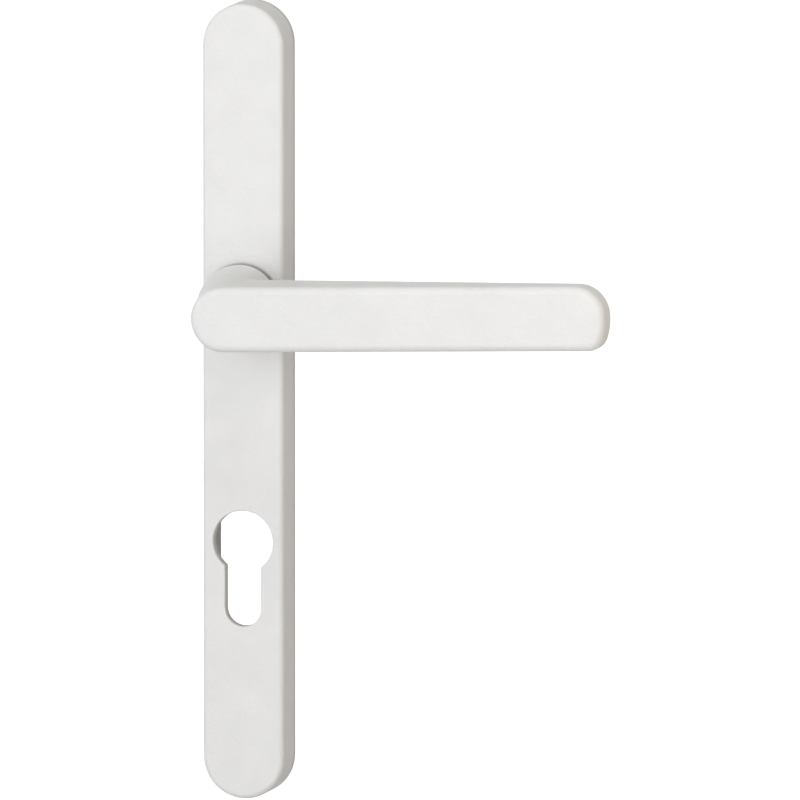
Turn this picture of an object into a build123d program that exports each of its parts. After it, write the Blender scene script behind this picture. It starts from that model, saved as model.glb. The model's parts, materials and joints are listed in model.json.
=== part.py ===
from build123d import *
import os
from math import asin, cos, degrees, radians, sin, tan

# Outer half of a door handle set: a sprung lever on a long narrow hollow backplate, euro-profile cut-out.
# Millimetres. The origin is on the spindle's axis in the plane of the door face. +Z is up, +X runs along the
# lever, and +Y goes into the door, so the plate stands in front of the door at negative Y.

# ---- driving dimensions: backplate ----
CYLINDER_DROP = 70.0  # spindle axis down to the axis of the cylinder's round part
FIXING_CENTRES = 195.0  # between the two M5 fixings
PLATE_HEIGHT = 232.0
PLATE_WIDTH = 24.4
PLATE_DEPTH = 12.0
PLATE_CENTRE_Z = -29.3
FRONT_WALL = 3.0
SIDE_WALL = 2.0
FACE_EDGE_RADIUS = 1.5
INNER_EDGE_RADIUS = 0.4
RIB_THICKNESS = 1.6
RIB_DEPTH = 4.0
RIB_Z = (44.0, 28.0, -36.0, -50.0, -104.0)

# ---- euro-profile cut-out ----
CUTOUT_RADIUS = 9.0
CUTOUT_SLOT_WIDTH = 10.8
CUTOUT_SLOT_REACH = 24.8  # from the round part's axis down to the slot's lowest point
CUTOUT_RIM_RADIUS = 0.4

# ---- lever ----
GRIP_LIFT = 2.5  # degrees that the grip is cast above level
GRIP_FRONT = 36.0  # from the plate's face to the grip's front face
GRIP_NECK_THICKNESS = 20.0  # at the spindle axis; the grip thins evenly to its tip
GRIP_TIP_THICKNESS = 8.4
GRIP_DROP = 0.5  # from the spindle axis down to where the grip's middle line crosses it
GRIP_REACH = 119.2  # spindle axis to the tip
HUB_OFFSET = 4.4  # centre of the grip's round hub end, right of the spindle axis
HUB_RADIUS = 9.5  # also half the grip's height there
TIP_HALF_HEIGHT = 9.4
TIP_TOP_RADIUS = 9.0
TIP_BOTTOM_RADIUS = 4.5
TIP_CROWN = 2.6  # how far the middle of the tip stands out beyond its corners
GRIP_FRONT_RADIUS = 2.2
GRIP_BACK_RADIUS = 2.0
ELBOW_RADIUS = 7.5
NECK_GAP = 1.2  # between the neck and the plate, filled by the bush's flange
NECK_BASE_RADIUS = 11.0
NECK_BASE_EDGE = 0.6
HUB_SKIN = 0.03  # the neck ends this far inside the hub
# each section: distance in front of the plate, offset along the grip, radius
NECK_SECTIONS = (
    (NECK_GAP, 0.0, NECK_BASE_RADIUS),
    (8.0, 0.3, 11.15),
    (16.0, 1.6, 10.7),
    (24.0, 3.3, 10.4),
    (29.0, 4.0, 10.0),
    (33.0, HUB_OFFSET, HUB_RADIUS - HUB_SKIN),
)

# ---- spigot, bush and retaining parts ----
SPIGOT_RADIUS = 7.5
SPIGOT_INNER_RADIUS = 7.2  # behind the bush
SPIGOT_FLAT = 6.6  # axis to each driving flat
GROOVE_RADIUS = 6.6
RUNNING_GAP = 0.05
BUSH_RADIUS = 9.0
BUSH_FLANGE_RADIUS = 9.9
BUSH_FLANGE = 1.1
BUSH_FLANGE_EDGE = 0.2
SPINDLE_SIDE = 8.0
BROACH_SIDE = 8.1

# ---- spring cassette ----
CASSETTE_WIDTH = 19.6
CASSETTE_HEIGHT = 43.0
CASSETTE_CORNER = 1.5
SHEET_CLEARANCE = 0.1
COVER_HOLE_RADIUS = 6.2
SPACER_X = 7.0
SPACER_Z = 17.5
SPACER_RADIUS = 2.3
SCREW_RADIUS = 1.25
SCREW_HOLE_RADIUS = 1.35
SCREW_TIP_Y = -10.8
SCREW_HEAD_RADIUS = 2.0
SCREW_DRIVE = (2.2, 0.5, 0.4)  # length, width and depth of the cross recess
WIRE_DIAMETER = 1.2
COIL_PITCH = 1.3
COIL_TURNS = 2  # less the gap between the legs
COIL_RADIUS = 8.4  # centre of the wire
SPRING_LEG_X = 2.25
SPRING_LEG_TOP = 13.6
SLEEVE_OUTER = 7.7
THRUST_OUTER = 9.5
DISC_RADIUS = 9.4
FINGER_HALF_WIDTH = 1.5
FINGER_INNER = 9.3
FINGER_OUTER = 10.3
CENTRING_POST_Z = 12.2
CENTRING_POST_RADIUS = 1.5
LUG_RADIUS = 11.2
LUG_HALF_WIDTH = 1.2
STOP_PIN_RADIUS = 0.75
STOP_CIRCLE = 10.4
STOP_CLEARANCE = 0.05
LEVER_TRAVEL = 45.0  # degrees each way
WASHER_OUTER = 9.0
CIRCLIP_OUTER = 8.2
CIRCLIP_GAP = 2.4
CIRCLIP_EAR_RADIUS = 1.1
CIRCLIP_EAR_CIRCLE = 8.0
CIRCLIP_EYE_RADIUS = 0.5

# ---- stack behind the front wall, as Y of each piece's faces ----
SHEET = 1.0
COVER_SHEET = 0.8
BUSH_PROUD = 0.6
THRUST_THICKNESS = 0.5
DRIVER_THICKNESS = 1.0
WAVE_THICKNESS = 0.4
RING_THICKNESS = 0.8
COIL_CLEARANCE = 0.1
FINGER_CLEARANCE = 0.3
WALL_Y = FRONT_WALL - PLATE_DEPTH
BASE_REAR_Y = WALL_Y + SHEET
BUSH_REAR_Y = WALL_Y + BUSH_PROUD
THRUST_REAR_Y = BASE_REAR_Y + THRUST_THICKNESS
LEG_ANGLE = degrees(asin(SPRING_LEG_X / COIL_RADIUS))
COIL_RISE = COIL_PITCH * (COIL_TURNS - 2 * LEG_ANGLE / 360)
COIL_REAR_Y = THRUST_REAR_Y + COIL_RISE + WIRE_DIAMETER
DRIVER_FRONT_Y = COIL_REAR_Y + COIL_CLEARANCE
DRIVER_REAR_Y = DRIVER_FRONT_Y + DRIVER_THICKNESS
WAVE_FRONT_Y = DRIVER_REAR_Y + RUNNING_GAP
WAVE_REAR_Y = WAVE_FRONT_Y + WAVE_THICKNESS
RING_FRONT_Y = WAVE_REAR_Y + RUNNING_GAP
RING_REAR_Y = RING_FRONT_Y + RING_THICKNESS
SPIGOT_REAR_Y = -1.0
COVER_REAR_Y = -0.1
COVER_FRONT_Y = COVER_REAR_Y - COVER_SHEET
FINGER_FRONT_Y = THRUST_REAR_Y + FINGER_CLEARANCE

# ---- fixings and spindle ----
POST_RADIUS = 4.0
POST_REAR_Y = -0.3
POST_CHAMFER = 0.4
THREAD_RADIUS = 2.5
THREAD_DEPTH = 8.0
POST_BOSS_RADIUS = 5.8
POST_BOSS_REAR_Y = -1.2
CLIP_OUTER = 6.4
CLIP_THICKNESS = 0.5
CLIP_NOTCHES = 6
CLIP_NOTCH = (1.4, 1.2)  # radial length and width
SPINDLE_FRONT_Y = -36.0
BROACH_END_GAP = 1.0  # room in front of the spindle
SPINDLE_REAR_Y = 22.0
SPINDLE_CHAMFER = 0.6
SPINDLE_PIN_Y = 2.0
SPINDLE_PIN_RADIUS = 1.0
SPINDLE_PIN_BORE = 0.6
SPINDLE_PIN_LENGTH = 12.0
GRUB_Y = -19.5
GRUB_RADIUS = 2.5
GRUB_LENGTH = 6.0
GRUB_KEY_WIDTH = 2.5
GRUB_KEY_DEPTH = 2.5

FLATNESS = 0.01
OVERLAP = 1.0  # how far a body runs into the one it joins, or a cut beyond the one it opens
PLATE_FACE_Y = -PLATE_DEPTH
GRIP_BACK_Y = PLATE_FACE_Y - GRIP_FRONT + GRIP_NECK_THICKNESS
grip_slant = (GRIP_NECK_THICKNESS - GRIP_TIP_THICKNESS) / GRIP_REACH
GRIP_BACK = Plane(origin=(0, GRIP_BACK_Y, 0), x_dir=(1, -grip_slant, 0), z_dir=(grip_slant, 1, 0))
FIXING_Z = (PLATE_CENTRE_Z + FIXING_CENTRES / 2, PLATE_CENTRE_Z - FIXING_CENTRES / 2)
SPACER_SPOTS = [(x, z) for z in (SPACER_Z, -SPACER_Z) for x in (SPACER_X, -SPACER_X)]
stop_half_angle = degrees(asin((LUG_HALF_WIDTH + STOP_PIN_RADIUS + STOP_CLEARANCE) / STOP_CIRCLE))
stop_angle = radians(LEVER_TRAVEL + stop_half_angle)
STOP_SPOTS = [(side * STOP_CIRCLE * sin(stop_angle), -STOP_CIRCLE * cos(stop_angle)) for side in (1, -1)]


def facing(y):
    """Plane parallel to the door at y: sketch x is +X, sketch y is +Z, and it extrudes towards the front."""
    return Plane.XZ.offset(-y)


def along_grip(y, drop):
    """The same plane turned by the grip's lift, so that sketch x runs along the grip, and lowered by drop."""
    lift = radians(GRIP_LIFT)
    return Plane(origin=(0, y, -drop), x_dir=(cos(lift), 0, sin(lift)), z_dir=(0, -1, 0))


def on_grip_back(edge):
    """True for an edge that lies in the grip's slanting back face."""
    ends_and_middle = (edge @ 0, edge @ 0.5, edge @ 1)
    return all(abs((point - GRIP_BACK.origin).dot(GRIP_BACK.z_dir)) < FLATNESS for point in ends_and_middle)


def save(part, label):
    """Labels a finished piece and writes its STEP file."""
    part.label = label
    export_step(part, f"parts/{label}.step")


os.makedirs("parts", exist_ok=True)


# ---- cover_plate: hollow shell with bore, euro-profile cut-out, fixing bosses and ribs ----
with BuildPart() as cover_plate:
    with BuildSketch(facing(0)):
        with Locations((0, PLATE_CENTRE_Z)):
            SlotOverall(PLATE_HEIGHT, PLATE_WIDTH, rotation=90)
    extrude(amount=PLATE_DEPTH)
    fillet(cover_plate.faces().sort_by(Axis.Y)[0].edges(), FACE_EDGE_RADIUS)
    with BuildSketch(facing(0)):
        with Locations((0, PLATE_CENTRE_Z)):
            SlotOverall(PLATE_HEIGHT - 2 * SIDE_WALL, PLATE_WIDTH - 2 * SIDE_WALL, rotation=90)
    extrude(amount=PLATE_DEPTH - FRONT_WALL, mode=Mode.SUBTRACT)
    fillet(cover_plate.faces().filter_by(Plane.XZ).sort_by(Axis.Y)[1].edges(), INNER_EDGE_RADIUS)
    with BuildSketch(facing(WALL_Y + RIB_DEPTH)):
        for rib_z in RIB_Z:
            with Locations((0, rib_z)):
                Rectangle(PLATE_WIDTH - SIDE_WALL, RIB_THICKNESS)
    extrude(amount=RIB_DEPTH + FRONT_WALL / 2)
    with BuildSketch(facing(POST_BOSS_REAR_Y)):
        with Locations(*[(0, z) for z in FIXING_Z]):
            Circle(POST_BOSS_RADIUS)
    extrude(amount=POST_BOSS_REAR_Y - WALL_Y + FRONT_WALL / 2)
    with BuildSketch(facing(0)):
        with Locations(*[(0, z) for z in FIXING_Z]):
            Circle(POST_RADIUS)
    extrude(amount=-WALL_Y, mode=Mode.SUBTRACT)
    with BuildSketch(facing(0)):
        with Locations(*SPACER_SPOTS):
            Circle(SCREW_RADIUS)
    extrude(amount=-SCREW_TIP_Y, mode=Mode.SUBTRACT)
    with BuildSketch(facing(0)):
        Circle(BUSH_RADIUS)
        with Locations((0, -CYLINDER_DROP)):
            Circle(CUTOUT_RADIUS)
        slot_round_z = -CYLINDER_DROP - CUTOUT_SLOT_REACH + CUTOUT_SLOT_WIDTH / 2
        with Locations((0, (slot_round_z - CYLINDER_DROP) / 2)):
            Rectangle(CUTOUT_SLOT_WIDTH, slot_round_z + CYLINDER_DROP)
        with Locations((0, slot_round_z)):
            Circle(CUTOUT_SLOT_WIDTH / 2)
    extrude(amount=PLATE_DEPTH, mode=Mode.SUBTRACT)
    front_face = cover_plate.faces().sort_by(Axis.Y)[0]
    cutout_rim = front_face.inner_wires().sort_by(Axis.Z)[0]
    fillet(cutout_rim.edges(), CUTOUT_RIM_RADIUS)
save(cover_plate.part, "cover_plate")


# ---- lever_handle: barrel-shaped neck, flat grip, spigot with driving flats, groove and square broach ----
grip_taper = asin((HUB_RADIUS - TIP_HALF_HEIGHT) / (GRIP_REACH - HUB_OFFSET))
hub_tangent_x = HUB_OFFSET + HUB_RADIUS * sin(grip_taper)
hub_tangent_z = HUB_RADIUS * cos(grip_taper)
tip_corner_x = GRIP_REACH - TIP_CROWN
tip_corner_z = hub_tangent_z - (tip_corner_x - hub_tangent_x) * tan(grip_taper)
with BuildPart() as lever_handle:
    with BuildSketch(along_grip(GRIP_BACK_Y + OVERLAP, GRIP_DROP)) as grip_outline:
        with BuildLine():
            Line((hub_tangent_x, hub_tangent_z), (tip_corner_x, tip_corner_z))
            ThreePointArc((tip_corner_x, tip_corner_z), (GRIP_REACH, 0), (tip_corner_x, -tip_corner_z))
            Line((tip_corner_x, -tip_corner_z), (hub_tangent_x, -hub_tangent_z))
            ThreePointArc(
                (hub_tangent_x, -hub_tangent_z), (HUB_OFFSET - HUB_RADIUS, 0), (hub_tangent_x, hub_tangent_z)
            )
        make_face()
        fillet(grip_outline.vertices().sort_by(Axis.X)[-2:].sort_by(Axis.Y)[-1], TIP_TOP_RADIUS)
        near_corner = (tip_corner_x - OVERLAP, tip_corner_x + OVERLAP)
        tip_corners = grip_outline.vertices().filter_by_position(Axis.X, *near_corner)
        fillet(tip_corners.sort_by(Axis.Y)[0], TIP_BOTTOM_RADIUS)
    extrude(amount=GRIP_NECK_THICKNESS + OVERLAP)
    with BuildSketch(GRIP_BACK):
        Rectangle(3 * GRIP_REACH, GRIP_REACH)
    extrude(amount=GRIP_NECK_THICKNESS, mode=Mode.SUBTRACT)
    fillet(lever_handle.faces().sort_by(Axis.Y)[0].edges(), GRIP_FRONT_RADIUS)
    fillet(lever_handle.edges().filter_by(on_grip_back), GRIP_BACK_RADIUS)
    for section_front, section_x, section_radius in NECK_SECTIONS:
        section_drop = GRIP_DROP * section_x / HUB_OFFSET
        with BuildSketch(along_grip(PLATE_FACE_Y - section_front, section_drop)):
            with Locations((section_x, 0)):
                Circle(section_radius)
    loft()
    back_edges = lever_handle.edges().filter_by(on_grip_back)
    elbow = back_edges.filter_by(GeomType.LINE, reverse=True).sort_by(Axis.X)[:2]
    fillet(elbow, ELBOW_RADIUS)
    neck_base = lever_handle.faces().sort_by(Axis.Y)[-1]
    fillet(neck_base.edges(), NECK_BASE_EDGE)
    with BuildSketch(facing(SPIGOT_REAR_Y)):
        Circle(SPIGOT_INNER_RADIUS)
        Rectangle(2 * SPIGOT_FLAT, 2 * SPIGOT_INNER_RADIUS, mode=Mode.INTERSECT)
    extrude(amount=SPIGOT_REAR_Y - PLATE_FACE_Y + NECK_GAP + OVERLAP)
    with BuildSketch(facing(BUSH_REAR_Y)):
        Circle(SPIGOT_RADIUS)
    extrude(amount=BUSH_REAR_Y - PLATE_FACE_Y + NECK_GAP + OVERLAP)
    with BuildSketch(facing(RING_REAR_Y)):
        Circle(SPIGOT_RADIUS)
        Circle(GROOVE_RADIUS, mode=Mode.SUBTRACT)
    extrude(amount=RING_REAR_Y - RING_FRONT_Y, mode=Mode.SUBTRACT)
    with BuildSketch(facing(SPIGOT_REAR_Y)):
        Rectangle(BROACH_SIDE, BROACH_SIDE)
    extrude(amount=SPIGOT_REAR_Y - SPINDLE_FRONT_Y + BROACH_END_GAP, mode=Mode.SUBTRACT)
    with BuildSketch(Plane.XY.offset(-NECK_BASE_RADIUS - OVERLAP)):
        with Locations((0, GRUB_Y)):
            Circle(GRUB_RADIUS)
    extrude(amount=NECK_BASE_RADIUS + OVERLAP, mode=Mode.SUBTRACT)
save(lever_handle.part, "lever_handle")


# ---- neck_bush: flanged nylon bearing, pressed into the plate's bore ----
with BuildPart() as neck_bush:
    with BuildSketch(facing(BUSH_REAR_Y)):
        Circle(BUSH_RADIUS)
    extrude(amount=BUSH_REAR_Y - PLATE_FACE_Y)
    with BuildSketch(facing(PLATE_FACE_Y)):
        Circle(BUSH_FLANGE_RADIUS)
    extrude(amount=BUSH_FLANGE)
    fillet(neck_bush.faces().sort_by(Axis.Y)[0].edges(), BUSH_FLANGE_EDGE)
    with BuildSketch(facing(BUSH_REAR_Y)):
        Circle(SPIGOT_RADIUS + RUNNING_GAP)
    extrude(amount=BUSH_REAR_Y - PLATE_FACE_Y + BUSH_FLANGE, mode=Mode.SUBTRACT)
save(neck_bush.part, "neck_bush")


# ---- cassette_base: sheet against the front wall, with holes for bush, screws, post and pins ----
with BuildPart() as cassette_base:
    with BuildSketch(facing(BASE_REAR_Y)):
        RectangleRounded(CASSETTE_WIDTH, CASSETTE_HEIGHT, CASSETTE_CORNER)
        Circle(BUSH_RADIUS + SHEET_CLEARANCE, mode=Mode.SUBTRACT)
        with Locations(*SPACER_SPOTS):
            Circle(SCREW_HOLE_RADIUS, mode=Mode.SUBTRACT)
        with Locations((0, CENTRING_POST_Z)):
            Circle(CENTRING_POST_RADIUS, mode=Mode.SUBTRACT)
        with Locations(*STOP_SPOTS):
            Circle(STOP_PIN_RADIUS, mode=Mode.SUBTRACT)
    extrude(amount=BASE_REAR_Y - WALL_Y)
save(cassette_base.part, "cassette_base")


# ---- cassette_cover: rear sheet with countersunk screw holes and a hole for the spindle ----
with BuildPart() as cassette_cover:
    with BuildSketch(facing(COVER_REAR_Y)):
        RectangleRounded(CASSETTE_WIDTH, CASSETTE_HEIGHT, CASSETTE_CORNER)
        Circle(COVER_HOLE_RADIUS, mode=Mode.SUBTRACT)
        with Locations((0, CENTRING_POST_Z)):
            Circle(CENTRING_POST_RADIUS, mode=Mode.SUBTRACT)
        with Locations(*STOP_SPOTS):
            Circle(STOP_PIN_RADIUS, mode=Mode.SUBTRACT)
    extrude(amount=COVER_REAR_Y - COVER_FRONT_Y)
    with Locations(*[Plane(origin=(x, COVER_REAR_Y, z), z_dir=(0, 1, 0)) for x, z in SPACER_SPOTS]):
        CounterSinkHole(SCREW_HOLE_RADIUS, SCREW_HEAD_RADIUS + SHEET_CLEARANCE, counter_sink_angle=90)
save(cassette_cover.part, "cassette_cover")


# ---- cassette_spacers: four tubes between base and cover ----
with BuildPart() as cassette_spacers:
    with BuildSketch(facing(COVER_FRONT_Y)):
        with Locations(*SPACER_SPOTS):
            Circle(SPACER_RADIUS)
            Circle(SCREW_HOLE_RADIUS, mode=Mode.SUBTRACT)
    extrude(amount=COVER_FRONT_Y - BASE_REAR_Y)
save(cassette_spacers.part, "cassette_spacers")


# ---- cassette_screws: four countersunk screws, cover to front wall ----
with BuildPart() as cassette_screws:
    with BuildSketch(facing(COVER_REAR_Y)):
        with Locations(*SPACER_SPOTS):
            Circle(SCREW_HEAD_RADIUS)
    extrude(amount=SCREW_HEAD_RADIUS - SCREW_RADIUS, taper=45)
    with BuildSketch(facing(COVER_REAR_Y)):
        with Locations(*SPACER_SPOTS):
            Circle(SCREW_RADIUS)
    extrude(amount=COVER_REAR_Y - SCREW_TIP_Y)
    with BuildSketch(facing(COVER_REAR_Y)):
        with Locations(*SPACER_SPOTS):
            Rectangle(SCREW_DRIVE[0], SCREW_DRIVE[1])
            Rectangle(SCREW_DRIVE[1], SCREW_DRIVE[0])
    extrude(amount=SCREW_DRIVE[2], mode=Mode.SUBTRACT)
save(cassette_screws.part, "cassette_screws")


# ---- centring_post: fixed pin between the spring's legs, riveted through base and cover ----
with BuildPart() as centring_post:
    with BuildSketch(facing(COVER_REAR_Y)):
        with Locations((0, CENTRING_POST_Z)):
            Circle(CENTRING_POST_RADIUS)
    extrude(amount=COVER_REAR_Y - WALL_Y)
save(centring_post.part, "centring_post")


# ---- stop_pins: the driver's lug meets one at each end of the lever's travel ----
with BuildPart() as stop_pins:
    with BuildSketch(facing(COVER_REAR_Y)):
        with Locations(*STOP_SPOTS):
            Circle(STOP_PIN_RADIUS)
    extrude(amount=COVER_REAR_Y - WALL_Y)
save(stop_pins.part, "stop_pins")


# ---- thrust_washer: steel ring between the cassette's base and the spring ----
with BuildPart() as thrust_washer:
    with BuildSketch(facing(THRUST_REAR_Y)):
        Circle(THRUST_OUTER)
        Circle(SPIGOT_INNER_RADIUS + 2 * RUNNING_GAP, mode=Mode.SUBTRACT)
    extrude(amount=THRUST_REAR_Y - BASE_REAR_Y)
save(thrust_washer.part, "thrust_washer")


# ---- spring_sleeve: nylon tube that carries the coil on the spigot ----
with BuildPart() as spring_sleeve:
    with BuildSketch(facing(COIL_REAR_Y)):
        Circle(SLEEVE_OUTER)
        Circle(SPIGOT_INNER_RADIUS + RUNNING_GAP, mode=Mode.SUBTRACT)
    extrude(amount=COIL_REAR_Y - THRUST_REAR_Y)
save(spring_sleeve.part, "spring_sleeve")


# ---- return_spring: two-turn torsion spring, its legs straddling the centring post and the finger ----
leg_base_z = COIL_RADIUS * cos(radians(LEG_ANGLE))
front_leg_y = THRUST_REAR_Y + WIRE_DIAMETER / 2
coil_start = (sin(radians(LEG_ANGLE)), 0, cos(radians(LEG_ANGLE)))
with BuildPart() as return_spring:
    with BuildLine() as coil:
        Helix(COIL_PITCH, COIL_RISE, COIL_RADIUS)
    coil_plane = Plane(origin=(0, front_leg_y, 0), x_dir=coil_start, z_dir=(0, 1, 0))
    coil_path = coil.wire().moved(coil_plane.location)
    with BuildSketch(Plane(origin=coil_path @ 0, z_dir=coil_path % 0)):
        Circle(WIRE_DIAMETER / 2)
    sweep(path=coil_path, is_frenet=True)
    for leg_x, leg_y in ((SPRING_LEG_X, front_leg_y), (-SPRING_LEG_X, front_leg_y + COIL_RISE)):
        with BuildSketch(Plane.XY.offset(leg_base_z)):
            with Locations((leg_x, leg_y)):
                Circle(WIRE_DIAMETER / 2)
        extrude(amount=SPRING_LEG_TOP - leg_base_z)
        with Locations((leg_x, leg_y, leg_base_z)):
            Sphere(WIRE_DIAMETER / 2)
save(return_spring.part, "return_spring")


# ---- driver_cam: disc keyed on the spigot's flats, finger for the spring at the top, stop lug below ----
with BuildPart() as driver_cam:
    with BuildSketch(facing(DRIVER_REAR_Y)):
        Circle(DISC_RADIUS)
        with Locations((0, FINGER_OUTER / 2)):
            Rectangle(2 * FINGER_HALF_WIDTH, FINGER_OUTER)
        with Locations((0, -LUG_RADIUS / 2)):
            Rectangle(2 * LUG_HALF_WIDTH, LUG_RADIUS)
    extrude(amount=DRIVER_REAR_Y - DRIVER_FRONT_Y)
    with BuildSketch(facing(DRIVER_REAR_Y)):
        with Locations((0, (FINGER_OUTER + FINGER_INNER) / 2)):
            Rectangle(2 * FINGER_HALF_WIDTH, FINGER_OUTER - FINGER_INNER)
    extrude(amount=DRIVER_REAR_Y - FINGER_FRONT_Y)
    with BuildSketch(facing(DRIVER_REAR_Y)):
        Circle(SPIGOT_INNER_RADIUS + RUNNING_GAP)
        Rectangle(2 * (SPIGOT_FLAT + RUNNING_GAP), 2 * DISC_RADIUS, mode=Mode.INTERSECT)
    extrude(amount=DRIVER_REAR_Y - DRIVER_FRONT_Y, mode=Mode.SUBTRACT)
save(driver_cam.part, "driver_cam")


# ---- wave_washer: takes up the end float, shown pressed flat ----
with BuildPart() as wave_washer:
    with BuildSketch(facing(WAVE_REAR_Y)):
        Circle(WASHER_OUTER)
        Circle(SPIGOT_INNER_RADIUS + RUNNING_GAP, mode=Mode.SUBTRACT)
    extrude(amount=WAVE_REAR_Y - WAVE_FRONT_Y)
save(wave_washer.part, "wave_washer")


# ---- retaining_ring: circlip in the spigot's groove, with two pierced ears at its gap ----
ear_angle = degrees(asin((CIRCLIP_GAP / 2 + CIRCLIP_EAR_RADIUS) / CIRCLIP_EAR_CIRCLE))
ear_x = CIRCLIP_EAR_CIRCLE * sin(radians(ear_angle))
ear_z = -CIRCLIP_EAR_CIRCLE * cos(radians(ear_angle))
with BuildPart() as retaining_ring:
    with BuildSketch(facing(RING_REAR_Y)):
        Circle(CIRCLIP_OUTER)
        with Locations((ear_x, ear_z), (-ear_x, ear_z)):
            Circle(CIRCLIP_EAR_RADIUS)
        Circle(GROOVE_RADIUS + RUNNING_GAP, mode=Mode.SUBTRACT)
        with Locations((0, -CIRCLIP_OUTER)):
            Rectangle(CIRCLIP_GAP, CIRCLIP_OUTER, mode=Mode.SUBTRACT)
        with Locations((ear_x, ear_z), (-ear_x, ear_z)):
            Circle(CIRCLIP_EYE_RADIUS, mode=Mode.SUBTRACT)
    extrude(amount=RING_REAR_Y - RING_FRONT_Y)
save(retaining_ring.part, "retaining_ring")


# ---- spindle: square bar through the lock, cross-drilled for its pin ----
with BuildPart() as spindle:
    with BuildSketch(facing(SPINDLE_REAR_Y)):
        Rectangle(SPINDLE_SIDE, SPINDLE_SIDE)
    extrude(amount=SPINDLE_REAR_Y - SPINDLE_FRONT_Y)
    spindle_ends = spindle.faces().filter_by(Plane.XZ)
    chamfer(spindle_ends.edges(), SPINDLE_CHAMFER)
    with BuildSketch(Plane.YZ.offset(-SPINDLE_SIDE / 2)):
        with Locations((SPINDLE_PIN_Y, 0)):
            Circle(SPINDLE_PIN_RADIUS)
    extrude(amount=SPINDLE_SIDE, mode=Mode.SUBTRACT)
save(spindle.part, "spindle")


# ---- spindle_pin: roll pin that keeps the spindle from sliding forward ----
with BuildPart() as spindle_pin:
    with BuildSketch(Plane.YZ.offset(-SPINDLE_PIN_LENGTH / 2)):
        with Locations((SPINDLE_PIN_Y, 0)):
            Circle(SPINDLE_PIN_RADIUS)
            Circle(SPINDLE_PIN_BORE, mode=Mode.SUBTRACT)
    extrude(amount=SPINDLE_PIN_LENGTH)
save(spindle_pin.part, "spindle_pin")


# ---- spindle_set_screw: socket grub screw from under the neck, against the spindle ----
with BuildPart() as spindle_set_screw:
    with BuildSketch(Plane.XY.offset(-SPINDLE_SIDE / 2 - GRUB_LENGTH)):
        with Locations((0, GRUB_Y)):
            Circle(GRUB_RADIUS - RUNNING_GAP)
    extrude(amount=GRUB_LENGTH)
    with BuildSketch(Plane.XY.offset(-SPINDLE_SIDE / 2 - GRUB_LENGTH)):
        with Locations((0, GRUB_Y)):
            RegularPolygon(GRUB_KEY_WIDTH / 2, 6, major_radius=False)
    extrude(amount=GRUB_KEY_DEPTH, mode=Mode.SUBTRACT)
save(spindle_set_screw.part, "spindle_set_screw")


# ---- fixing_post_upper, fixing_post_lower: threaded steel sleeves for the through-bolts ----
for post_z, post_name in zip(FIXING_Z, ("fixing_post_upper", "fixing_post_lower")):
    with BuildPart() as fixing_post:
        with BuildSketch(facing(POST_REAR_Y)):
            with Locations((0, post_z)):
                Circle(POST_RADIUS)
        extrude(amount=POST_REAR_Y - WALL_Y)
        chamfer(fixing_post.faces().sort_by(Axis.Y)[-1].edges(), POST_CHAMFER)
        with BuildSketch(facing(POST_REAR_Y)):
            with Locations((0, post_z)):
                Circle(THREAD_RADIUS)
        extrude(amount=THREAD_DEPTH, mode=Mode.SUBTRACT)
    save(fixing_post.part, post_name)


# ---- post_clips: two star washers that hold the sleeves in their bosses ----
with BuildPart() as post_clips:
    with BuildSketch(facing(POST_BOSS_REAR_Y + CLIP_THICKNESS)):
        for post_z in FIXING_Z:
            with Locations((0, post_z)):
                Circle(CLIP_OUTER)
                Circle(POST_RADIUS, mode=Mode.SUBTRACT)
                with PolarLocations(POST_RADIUS, CLIP_NOTCHES):
                    Rectangle(CLIP_NOTCH[0], CLIP_NOTCH[1], mode=Mode.SUBTRACT)
    extrude(amount=CLIP_THICKNESS)
save(post_clips.part, "post_clips")
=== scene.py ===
import json
import math

import bpy
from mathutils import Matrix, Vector


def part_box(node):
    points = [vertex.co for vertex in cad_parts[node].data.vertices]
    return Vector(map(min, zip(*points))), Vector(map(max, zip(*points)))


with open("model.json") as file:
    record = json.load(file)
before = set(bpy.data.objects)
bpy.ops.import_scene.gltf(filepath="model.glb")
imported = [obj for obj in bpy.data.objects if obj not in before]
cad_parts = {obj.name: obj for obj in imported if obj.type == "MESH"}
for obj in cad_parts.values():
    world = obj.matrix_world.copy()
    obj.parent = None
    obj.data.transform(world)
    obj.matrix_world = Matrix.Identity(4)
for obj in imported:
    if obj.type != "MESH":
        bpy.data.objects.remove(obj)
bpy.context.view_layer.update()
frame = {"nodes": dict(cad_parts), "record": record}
plate_lo, plate_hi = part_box("cover_plate")
nodes = frame["nodes"]

# ---------------------------------------------------------------- camera

# the camera stands to the right of the spindle and a little above it, far off, with a long lens
VIEW_AZIMUTH = math.radians(16.7)
VIEW_ELEVATION = math.radians(8.3)
# where it aims, measured in its own view from the spindle's axis at the plate's front
TARGET_RIGHT = 0.04545
TARGET_DOWN = 0.02828
FRAME_WIDTH = 0.2309
LENS = 1200
SENSOR = 36
CLIP_END = 60

sin_a, cos_a = math.sin(VIEW_AZIMUTH), math.cos(VIEW_AZIMUTH)
sin_e, cos_e = math.sin(VIEW_ELEVATION), math.cos(VIEW_ELEVATION)
view_back = Vector((sin_a * cos_e, -cos_a * cos_e, sin_e))
view_right = Vector((cos_a, sin_a, 0))
view_up = Vector((-sin_a * sin_e, cos_a * sin_e, cos_e))
target = Vector((0, plate_lo.y, 0)) + view_right * TARGET_RIGHT - view_up * TARGET_DOWN

camera_data = bpy.data.cameras.new("camera")
camera_data.lens = LENS
camera_data.sensor_width = SENSOR
camera_data.clip_end = CLIP_END
camera = bpy.data.objects.new("camera", camera_data)
camera.location = target + view_back * FRAME_WIDTH * LENS / SENSOR
camera.rotation_euler = (-view_back).to_track_quat("-Z", "Y").to_euler()
bpy.context.scene.collection.objects.link(camera)
bpy.context.scene.camera = camera

# ---------------------------------------------------------------- floor and backdrop

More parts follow.
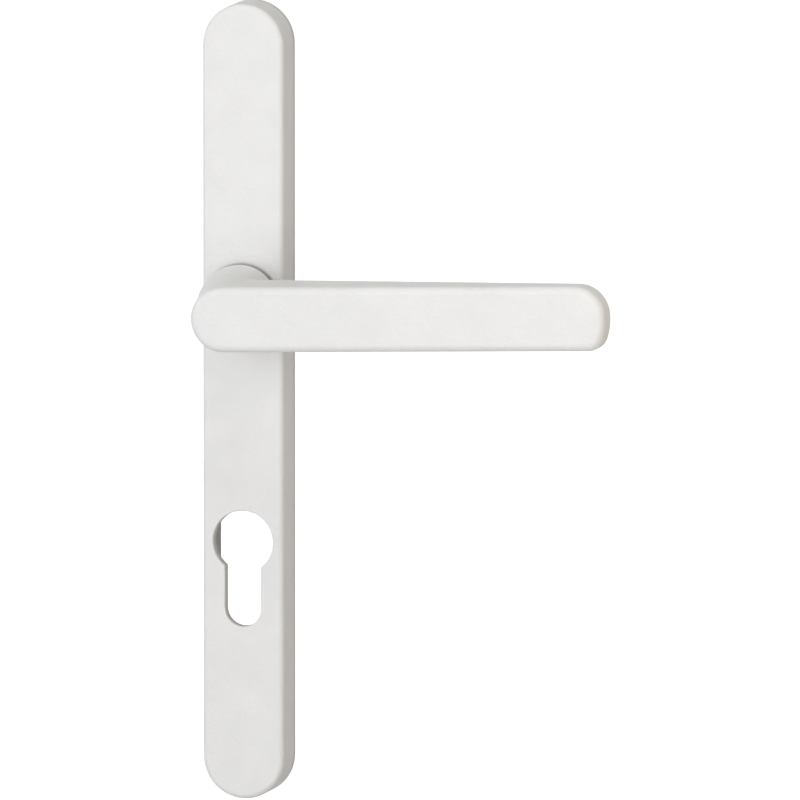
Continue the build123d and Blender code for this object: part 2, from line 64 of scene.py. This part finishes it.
FLOOR_DROP = 0.22
FLOOR_SIZE = 30
FLOOR_GREY = 0.8
FLOOR_ROUGHNESS = 0.9
# the floor's own glow rises from GLOW_NEAR to full white between these distances from the middle
GLOW_START, GLOW_END = 0.7, 1.4
GLOW_NEAR, GLOW_FULL = 0.45, 1.0
AMBIENT_COLOUR = (1.0, 0.93, 0.87, 1)
AMBIENT_STRENGTH = 0.18
WHITE = (1, 1, 1, 1)
MAP_RANGE = ("From Min", "From Max", "To Min", "To Max")


def node_material(name):
    """A new material and its node tree, with the default shader and output."""
    material = bpy.data.materials.new(name)
    material.use_nodes = True
    return material, material.node_tree, material.node_tree.nodes["Principled BSDF"]


def seen_directly(tree):
    """A value that is 1 for what the camera, a mirror or a clear piece shows, and 0 for what lights
    the object."""
    path = tree.nodes.new("ShaderNodeLightPath")
    camera_or_gloss = tree.nodes.new("ShaderNodeMath")
    camera_or_gloss.operation = "MAXIMUM"
    tree.links.new(path.outputs["Is Camera Ray"], camera_or_gloss.inputs[0])
    tree.links.new(path.outputs["Is Glossy Ray"], camera_or_gloss.inputs[1])
    any_direct = tree.nodes.new("ShaderNodeMath")
    any_direct.operation = "MAXIMUM"
    tree.links.new(camera_or_gloss.outputs[0], any_direct.inputs[0])
    tree.links.new(path.outputs["Is Transmission Ray"], any_direct.inputs[1])
    return any_direct.outputs[0]


# the floor is pale and keeps the object's shadow; its glow fades it into the white backdrop
floor_mesh = bpy.data.meshes.new("floor")
half = FLOOR_SIZE / 2
floor_z = plate_lo.z - FLOOR_DROP
corners = [(x, y, floor_z) for x, y in ((-half, -half), (half, -half), (half, half), (-half, half))]
floor_mesh.from_pydata(corners, [], [(0, 1, 2, 3)])
floor = bpy.data.objects.new("floor", floor_mesh)
bpy.context.scene.collection.objects.link(floor)
floor_material, tree, shader = node_material("floor")
shader.inputs["Base Color"].default_value = (FLOOR_GREY, FLOOR_GREY, FLOOR_GREY, 1)
shader.inputs["Roughness"].default_value = FLOOR_ROUGHNESS
shader.inputs["Emission Color"].default_value = WHITE
place = tree.nodes.new("ShaderNodeTexCoord")
reach = tree.nodes.new("ShaderNodeVectorMath")
reach.operation = "LENGTH"
tree.links.new(place.outputs["Object"], reach.inputs[0])
fade = tree.nodes.new("ShaderNodeMapRange")
for socket, number in zip(MAP_RANGE, (GLOW_START, GLOW_END, GLOW_NEAR, GLOW_FULL)):
    fade.inputs[socket].default_value = number
tree.links.new(reach.outputs["Value"], fade.inputs["Value"])
lift = tree.nodes.new("ShaderNodeMath")
lift.operation = "MULTIPLY"
tree.links.new(seen_directly(tree), lift.inputs[0])
tree.links.new(fade.outputs["Result"], lift.inputs[1])
tree.links.new(lift.outputs[0], shader.inputs["Emission Strength"])
floor_mesh.materials.append(floor_material)

# the world is plain white to the camera and a weak warm light to the object
world = bpy.data.worlds.new("studio")
world.use_nodes = True
bpy.context.scene.world = world
tree = world.node_tree
ambient = tree.nodes["Background"]
ambient.inputs["Color"].default_value = AMBIENT_COLOUR
ambient.inputs["Strength"].default_value = AMBIENT_STRENGTH
white = tree.nodes.new("ShaderNodeBackground")
white.inputs["Color"].default_value = WHITE
white.inputs["Strength"].default_value = 1.0
mix = tree.nodes.new("ShaderNodeMixShader")
tree.links.new(seen_directly(tree), mix.inputs["Fac"])
tree.links.new(ambient.outputs[0], mix.inputs[1])
tree.links.new(white.outputs[0], mix.inputs[2])
tree.links.new(mix.outputs[0], tree.nodes["World Output"].inputs["Surface"])

# ---------------------------------------------------------------- lamps

OBJECT_MIDDLE = Vector((0.03, 0, -0.02))


def soft_light(name, position, size, power, colour):
    """A square area lamp, aimed at the object, that the camera doesn't see."""
    data = bpy.data.lights.new(name, "AREA")
    data.size = size
    data.energy = power
    data.color = colour
    lamp = bpy.data.objects.new(name, data)
    lamp.location = position
    lamp.rotation_euler = (Vector(position) - OBJECT_MIDDLE).to_track_quat("Z", "Y").to_euler()
    lamp.visible_camera = False
    bpy.context.scene.collection.objects.link(lamp)


soft_light("key", position=(-0.45, -1.25, 0.08), size=1.20, power=6.9, colour=(0.98, 0.985, 1.0))
soft_light("near_front", position=(0.22, -0.50, 0.02), size=0.50, power=0.82, colour=(0.94, 0.955, 1.0))
soft_light("left", position=(-0.60, -0.40, 0.20), size=0.60, power=1.2, colour=(0.9, 0.95, 1.0))
soft_light("right", position=(0.40, -0.15, 0.03), size=0.20, power=0.26, colour=(1.0, 0.87, 0.68))
soft_light("top", position=(0.10, -0.20, 0.60), size=0.40, power=1.22, colour=(0.97, 1.0, 0.98))

bpy.context.scene.view_settings.view_transform = "Standard"

# ---------------------------------------------------------------- materials

# Noise scales are per metre, and bump heights are in metres.


class Builder:
    """Short calls for the nodes that every material here uses."""

    def __init__(self, name):
        self.material, self.tree, self.shader = node_material(name)
        self.position = self.tree.nodes.new("ShaderNodeTexCoord").outputs["Object"]

    def link(self, value, socket):
        """Joins an output to a socket, or sets the socket to a plain value."""
        if isinstance(value, bpy.types.NodeSocket):
            self.tree.links.new(value, socket)
        else:
            socket.default_value = value

    def axes(self):
        """The object's own X, Y and Z, one output each."""
        node = self.tree.nodes.new("ShaderNodeSeparateXYZ")
        self.link(self.position, node.inputs[0])
        return node.outputs["X"], node.outputs["Y"], node.outputs["Z"]

    def math(self, operation, first, second=0.0, clamp=False):
        """One sum on one or two values."""
        node = self.tree.nodes.new("ShaderNodeMath")
        node.operation = operation
        node.use_clamp = clamp
        self.link(first, node.inputs[0])
        self.link(second, node.inputs[1])
        return node.outputs[0]

    def length(self, first, second):
        """The length of the line that has these two sides."""
        squares = [self.math("POWER", self.math("ABSOLUTE", side), 2.0) for side in (first, second)]
        return self.math("SQRT", self.math("ADD", *squares))

    def stretched(self, scale):
        """The object's own coordinates, scaled along each axis."""
        node = self.tree.nodes.new("ShaderNodeMapping")
        node.inputs["Scale"].default_value = scale
        self.link(self.position, node.inputs["Vector"])
        return node.outputs["Vector"]

    def noise(self, scale, detail=2.0, roughness=0.5, vector=None):
        """Fractal noise from 0 to 1, mostly near the middle."""
        node = self.tree.nodes.new("ShaderNodeTexNoise")
        node.inputs["Scale"].default_value = scale
        node.inputs["Detail"].default_value = detail
        node.inputs["Roughness"].default_value = roughness
        self.link(vector or self.position, node.inputs["Vector"])
        return node.outputs["Fac"]

    def ramp(self, value, stops):
        """Colours or greys at given places from 0 to 1."""
        node = self.tree.nodes.new("ShaderNodeValToRGB")
        for extra in range(len(stops) - 2):
            node.color_ramp.elements.new(0.5)
        for element, (place, colour) in zip(node.color_ramp.elements, stops):
            element.position = place
            element.color = colour if len(colour) == 4 else (*colour, 1)
        self.link(value, node.inputs["Fac"])
        return node.outputs["Color"]

    def spread(self, value, low, high, to_low, to_high):
        """Maps low..high to to_low..to_high, and holds the ends outside that range."""
        node = self.tree.nodes.new("ShaderNodeMapRange")
        for socket, number in zip(MAP_RANGE, (low, high, to_low, to_high)):
            node.inputs[socket].default_value = number
        self.link(value, node.inputs["Value"])
        return node.outputs["Result"]

    def blend(self, factor, first, second):
        """The first colour where the factor is 0, and the second where it is 1."""
        node = self.tree.nodes.new("ShaderNodeMix")
        node.data_type = "RGBA"
        self.link(factor, node.inputs["Factor"])
        self.link(first, node.inputs["A"])
        self.link(second, node.inputs["B"])
        return node.outputs["Result"]

    def bump(self, height, distance, under=None):
        """A normal for a relief that is this high, laid over another relief where one is given."""
        node = self.tree.nodes.new("ShaderNodeBump")
        node.inputs["Strength"].default_value = 1.0
        node.inputs["Distance"].default_value = distance
        self.link(height, node.inputs["Height"])
        if under is not None:
            self.link(under, node.inputs["Normal"])
        return node.outputs["Normal"]

    def finish(self, colour, roughness, normal, metallic=0.0):
        """Joins everything to the shader and returns the material."""
        self.link(colour, self.shader.inputs["Base Color"])
        self.link(roughness, self.shader.inputs["Roughness"])
        self.link(metallic, self.shader.inputs["Metallic"])
        self.link(normal, self.shader.inputs["Normal"])
        return self.material


COAT_MOTTLE, COAT_PATCHES, COAT_PEEL, COAT_GRAIN = 90, 300, 900, 2600
PEEL_HEIGHT, GRAIN_HEIGHT = 0.00011, 0.00009


def coat_surface(b):
    """Colour, roughness and normal of a sprayed and baked powder coat: soft mottling, orange peel and
    fine grain."""
    mottle = b.noise(COAT_MOTTLE, 3.0)
    colour = b.ramp(mottle, [(0.3, (0.815, 0.812, 0.805)), (0.7, (0.845, 0.842, 0.833))])
    roughness = b.spread(b.noise(COAT_PATCHES, 2.0), 0.3, 0.7, 0.44, 0.54)
    peel = b.bump(b.noise(COAT_PEEL, 1.5), PEEL_HEIGHT)
    grain = b.bump(b.noise(COAT_GRAIN, 2.0), GRAIN_HEIGHT, under=peel)
    return colour, roughness, grain


# the grey of the painted shade in gaps, seams and openings, and how strongly it is painted at each place
PAINTED_SHADE_GREY = (0.25, 0.24, 0.23, 1)
NECK_EDGE_SHADE = 0.5
SEAM_SHADE = 0.6
REAR_EDGE_SHADE = 0.4
THROAT_SHADE_FRONT, THROAT_SHADE_REAR = 0.12, 0.3

# the neck of the lever ends this far in front of the plate, and painted shade darkens its edge over the
# next stretch
NECK_GAP = 0.0012
NECK_EDGE_START, NECK_EDGE_END = 0.0005, 0.0001
# on the plate, the painted shade in the seam round the neck fades out between these radii
SEAM_NEAR, SEAM_FAR = 0.0110, 0.0117
# the plate's rear edge is darkened with painted shade over this last stretch before the door
REAR_EDGE_START, REAR_EDGE_END = -0.0024, -0.0008

SIDE_WALL = 0.002
SKIN = 0.00015
RIM_DEPTH = 0.0005
OPEN_SPECULAR, RECESS_SPECULAR = 0.5, 0.1
RECESS_ROUGHNESS = 0.3
BARE_CAST, MIST = 160, 220


def lever_coat():
    """White, with painted shade on the edge of the neck that faces the plate."""
    b = Builder("lever_coat")
    colour, roughness, normal = coat_surface(b)
    neck_rear = plate_lo.y - NECK_GAP
    depth = b.axes()[1]
    # painted shade: the neck's edge next to the plate turns towards the shade grey, for the shadow in the
    # gap
    neck_shade = b.spread(depth, neck_rear - NECK_EDGE_START, neck_rear - NECK_EDGE_END, 0, NECK_EDGE_SHADE)
    return b.finish(b.blend(neck_shade, colour, PAINTED_SHADE_GREY), roughness, normal)


def plate_coat():
    """White outside, with painted shade in the seam round the neck, at the rear edge and on the walls of
    the openings, and dry in the openings. In the hollow, bare casting shows under a mist of coat that thins
    with depth; its grey is partly painted shade."""
    b = Builder("plate_coat")
    colour, roughness, normal = coat_surface(b)
    across, depth, height = b.axes()

    # distance from the plate's middle line, which ends at the centres of its round ends
    middle_z = (plate_lo.z + plate_hi.z) / 2
    half_width = (plate_hi.x - plate_lo.x) / 2
    straight = (plate_hi.z - plate_lo.z) / 2 - half_width
    beyond = b.math("SUBTRACT", b.math("ABSOLUTE", b.math("SUBTRACT", height, middle_z)), straight)
    from_middle = b.length(across, b.math("MAXIMUM", beyond, 0.0))

    # the hollow is behind the front wall; a recess is that and the walls of the openings
    front_wall_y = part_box("cassette_base")[0].y
    inside = b.math("LESS_THAN", from_middle, half_width - SIDE_WALL + SKIN)
    hollow = b.math("MULTIPLY", inside, b.math("GREATER_THAN", depth, front_wall_y - SKIN))
    recess = b.math("MULTIPLY", inside, b.math("GREATER_THAN", depth, plate_lo.y + RIM_DEPTH))

    # bare casting under a mist of coat that thins deeper into the hollow; its grey is partly the casting's
    # own colour and partly painted shade for the hollow
    bare_cast_and_shade = b.ramp(b.noise(BARE_CAST, 4.0, 0.6), [(0.3, (0.30, 0.30, 0.305)), (0.7, (0.42, 0.42, 0.42))])
    cover = b.spread(depth, front_wall_y, 0.0, 0.25, 0.85)
    mist = b.math("ADD", cover, b.spread(b.noise(MIST, 4.0, 0.7), 0.2, 0.8, -0.35, 0.35), clamp=True)
    inner = b.blend(mist, bare_cast_and_shade, colour)

    # painted shade in the gap round the neck, darkest next to the neck
    seam_shade = b.spread(b.length(across, height), SEAM_NEAR, SEAM_FAR, SEAM_SHADE, 0)
    beside_rim = b.math("LESS_THAN", depth, -SKIN)
    # painted shade along the rear edge, next to the door
    rear_shade = b.spread(depth, REAR_EDGE_START, REAR_EDGE_END, 0, REAR_EDGE_SHADE)
    # painted shade on the walls of the openings, darker towards the rear of the front wall
    throat_shade = b.spread(depth, plate_lo.y, front_wall_y, THROAT_SHADE_FRONT, THROAT_SHADE_REAR)
    edge_shade = b.math("MAXIMUM", b.math("MULTIPLY", beside_rim, rear_shade), b.math("MULTIPLY", recess, throat_shade))
    outer = b.blend(b.math("MAXIMUM", seam_shade, edge_shade), colour, PAINTED_SHADE_GREY)

    b.link(b.spread(recess, 0, 1, OPEN_SPECULAR, RECESS_SPECULAR), b.shader.inputs["Specular IOR Level"])
    dull = b.math("ADD", roughness, b.math("MULTIPLY", recess, RECESS_ROUGHNESS))
    return b.finish(b.blend(hollow, outer, inner), dull, normal)


NYLON_FLOW, NYLON_PATCHES, NYLON_SKIN = 120, 700, 3000
NYLON_HEIGHT = 0.00003
ZINC_CLOUD = 70
STEEL_TINT, STEEL_STREAKS = 260, 1800
OXIDE_RUBBED, OXIDE_GRAIN = 420, 2500
FINE_HEIGHT = 0.00001
PLATED, OXIDISED = 0.95, 0.7


def nylon(name, dark, light):
    """Moulded nylon: even colour, faint flow marks and a fine spark-eroded skin."""
    b = Builder(name)
    colour = b.ramp(b.noise(NYLON_FLOW, 3.0), [(0.3, dark), (0.7, light)])
    roughness = b.spread(b.noise(NYLON_PATCHES, 2.0), 0.3, 0.7, 0.42, 0.6)
    return b.finish(colour, roughness, b.bump(b.noise(NYLON_SKIN, 2.0), NYLON_HEIGHT))


def zinc_plate(name, dark, light, stretch, grain_scale):
    """Bright zinc over steel: cloudy passivation, rolling or turning lines along the stretched axis."""
    b = Builder(name)
    cloud = b.noise(ZINC_CLOUD, 4.0, 0.6)
    between = tuple((d + l) / 2 for d, l in zip(dark, light))
    colour = b.ramp(cloud, [(0.25, dark), (0.5, between), (0.8, light)])
    lines = b.noise(grain_scale, 3.0, 0.6, b.stretched(stretch))
    roughness = b.math("ADD", b.spread(lines, 0.2, 0.8, 0.22, 0.42), b.spread(cloud, 0.3, 0.7, -0.05, 0.06))
    return b.finish(colour, roughness, b.bump(lines, FINE_HEIGHT), metallic=PLATED)


def spring_steel():
    """Drawn and tempered steel: dark straw-grey with fine streaks."""
    b = Builder("spring_steel")
    tint = b.noise(STEEL_TINT, 4.0, 0.65)
    colour = b.ramp(tint, [(0.3, (0.20, 0.195, 0.19)), (0.75, (0.36, 0.36, 0.37))])
    streaks = b.noise(STEEL_STREAKS, 2.0, 0.5)
    roughness = b.spread(streaks, 0.2, 0.8, 0.28, 0.46)
    return b.finish(colour, roughness, b.bump(streaks, FINE_HEIGHT), metallic=PLATED)


def black_oxide():
    """Oiled black oxide: nearly black, with paler rubbed places."""
    b = Builder("black_oxide")
    rubbed = b.noise(OXIDE_RUBBED, 4.0, 0.7)
    colour = b.ramp(rubbed, [(0.35, (0.018, 0.018, 0.02)), (0.8, (0.07, 0.07, 0.075))])
    roughness = b.spread(rubbed, 0.2, 0.8, 0.3, 0.5)
    return b.finish(colour, roughness, b.bump(b.noise(OXIDE_GRAIN), FINE_HEIGHT), metallic=OXIDISED)


NYLON_BLACK = (0.016, 0.016, 0.018)
# lines run along the axis that is stretched, which has the smallest number
ALONG_Z, ROUND_Y, ALONG_Y = (1, 1, 0.06), (0.2, 1, 0.2), (1, 0.04, 1)

finishes = {
    "plate_coat": plate_coat(),
    "lever_coat": lever_coat(),
    "bush_nylon": nylon("bush_nylon", NYLON_BLACK, (0.032, 0.032, 0.034)),
    "sleeve_nylon": nylon("sleeve_nylon", NYLON_BLACK, (0.03, 0.03, 0.032)),
    "zinc_sheet": zinc_plate("zinc_sheet", (0.48, 0.49, 0.51), (0.66, 0.67, 0.68), ALONG_Z, 1600),
    "zinc_turned": zinc_plate("zinc_turned", (0.52, 0.52, 0.53), (0.70, 0.70, 0.70), ROUND_Y, 2400),
    "spindle_steel": zinc_plate("spindle_steel", (0.50, 0.50, 0.50), (0.66, 0.655, 0.65), ALONG_Y, 1500),
    "spring_steel": spring_steel(),
    "black_oxide": black_oxide(),
}
for part in frame["record"]["subparts"]:
    slots = nodes[part["node"]].data.materials
    slots.clear()
    slots.append(finishes[part["material_slot"]])
